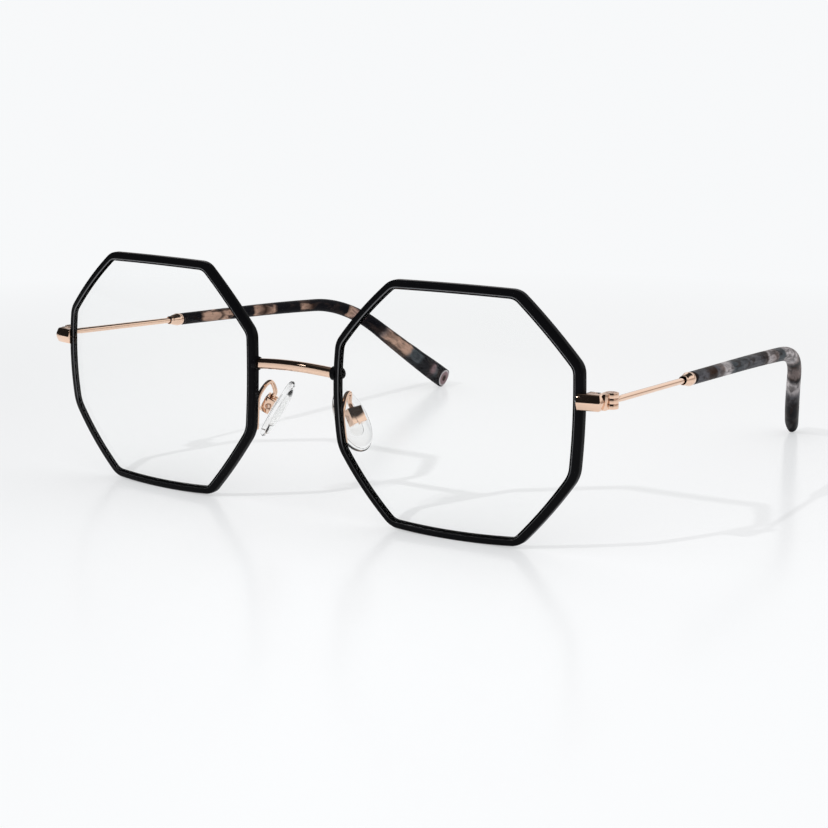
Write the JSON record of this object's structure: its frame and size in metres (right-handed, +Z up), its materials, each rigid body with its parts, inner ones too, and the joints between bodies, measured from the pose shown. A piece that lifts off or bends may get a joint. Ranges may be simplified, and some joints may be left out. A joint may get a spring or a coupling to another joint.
{
  "type": "eyeglasses",
  "caption": "Octagonal wire spectacle frame with clear lenses, bar bridge, adjustable nose pads and folding temples with curved acetate tips.",
  "frame": {"origin": "on the table under the middle of the frame's length and width, with the temples open", "axes": "+X towards the wearer's left, +Y from the lenses to the temple tips, +Z up"},
  "size_m": [0.1414, 0.1423, 0.0511],
  "materials": {
    "eyewire": "satin",
    "rose_metal": "polished",
    "screw": "polished",
    "lens": "clear",
    "pad": "clear",
    "acetate": "marbled and polished"
  },
  "bodies": {
    "front": {"rim_left": "eyewire", "rim_right": "eyewire", "lens_left": "lens", "lens_right": "lens", "bridge": "rose_metal", "closing_block_left": "eyewire", "closing_block_right": "eyewire", "closing_screw_left": "screw", "closing_screw_right": "screw", "endpiece_left": "rose_metal", "endpiece_right": "rose_metal", "front_hinge_left": "rose_metal", "front_hinge_right": "rose_metal", "hinge_screw_left": "screw", "hinge_screw_right": "screw", "pad_arm_left": "rose_metal", "pad_arm_right": "rose_metal", "pad_box_left": "rose_metal", "pad_box_right": "rose_metal", "pad_screw_left": "screw", "pad_screw_right": "screw"},
    "temple_left": {"temple_hinge_left": "rose_metal", "temple_rod_left": "rose_metal", "ferrule_left": "rose_metal", "temple_tip_left": "acetate"},
    "temple_right": {"temple_hinge_right": "rose_metal", "temple_rod_right": "rose_metal", "ferrule_right": "rose_metal", "temple_tip_right": "acetate"},
    "pad_left": {"nose_pad_left": "pad", "pad_insert_left": "rose_metal"},
    "pad_right": {"nose_pad_right": "pad", "pad_insert_right": "rose_metal"}
  },
  "joints": [
    {"name": "temple_fold_left", "type": "hinge", "parent": "front", "child": "temple_left", "pos_m": [0.06931, -0.06185, 0.03075], "axis": [0, 0, 1], "range_deg": [0, 82]},
    {"name": "temple_fold_right", "type": "hinge", "parent": "front", "child": "temple_right", "pos_m": [-0.06931, -0.06185, 0.03075], "axis": [0, 0, -1], "range_deg": [0, 74]},
    {"name": "pad_rock_left", "type": "hinge", "parent": "front", "child": "pad_left", "pos_m": [0.01121, -0.06313, 0.02099], "axis": [0.3724, 0.9172, 0.1415], "range_deg": [-10, 10]},
    {"name": "pad_rock_right", "type": "hinge", "parent": "front", "child": "pad_right", "pos_m": [-0.01121, -0.06313, 0.02099], "axis": [0.3724, -0.9172, -0.1415], "range_deg": [-10, 10]}
  ]
}
